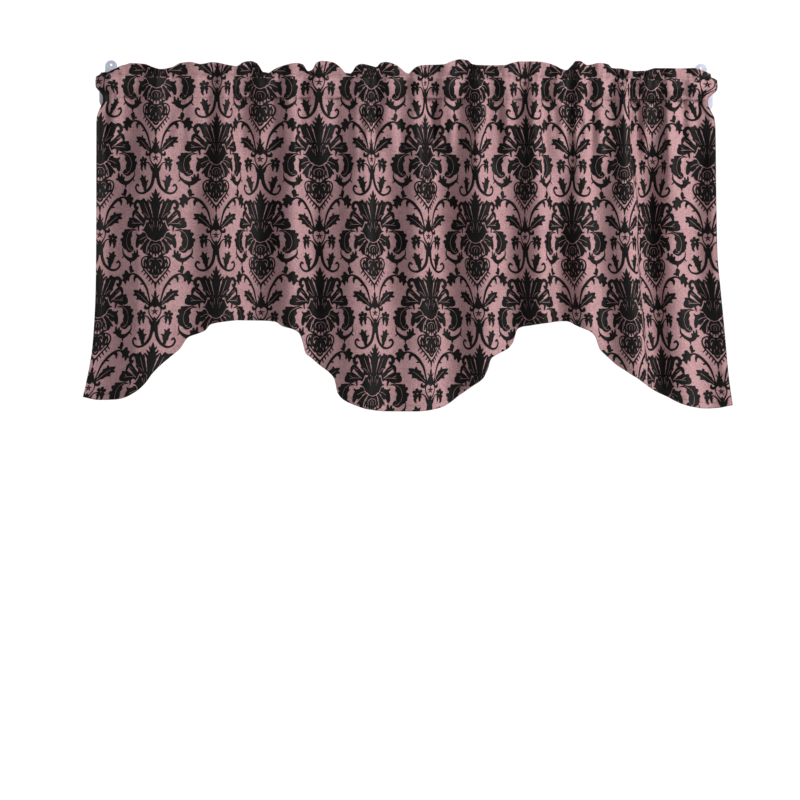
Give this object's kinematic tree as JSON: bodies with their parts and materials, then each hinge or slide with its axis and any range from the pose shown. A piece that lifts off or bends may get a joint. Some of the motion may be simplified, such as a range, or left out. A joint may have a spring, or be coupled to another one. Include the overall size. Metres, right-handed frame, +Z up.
{
  "type": "window valance with curtain rod",
  "caption": "Scalloped rod-pocket window valance with a gathered heading and soft folds, hung on a flat white curtain rod with curved ends and plate brackets.",
  "frame": {"origin": "on the wall plane, half way between the two brackets, at the height of the curtain rod's middle", "axes": "+X along the rod to the viewer's right, +Y into the wall, +Z up; the valance faces -Y"},
  "size_m": [1.1343, 0.0833, 0.614],
  "materials": {
    "printed_cloth": "dusty mauve woven ground with a black velvety damask print",
    "white_enamel": "satin white enamel"
  },
  "bodies": {
    "root": {"valance_cloth": "printed_cloth", "curtain_rod": "white_enamel", "bracket_left": "white_enamel", "bracket_right": "white_enamel"}
  },
  "joints": []
}
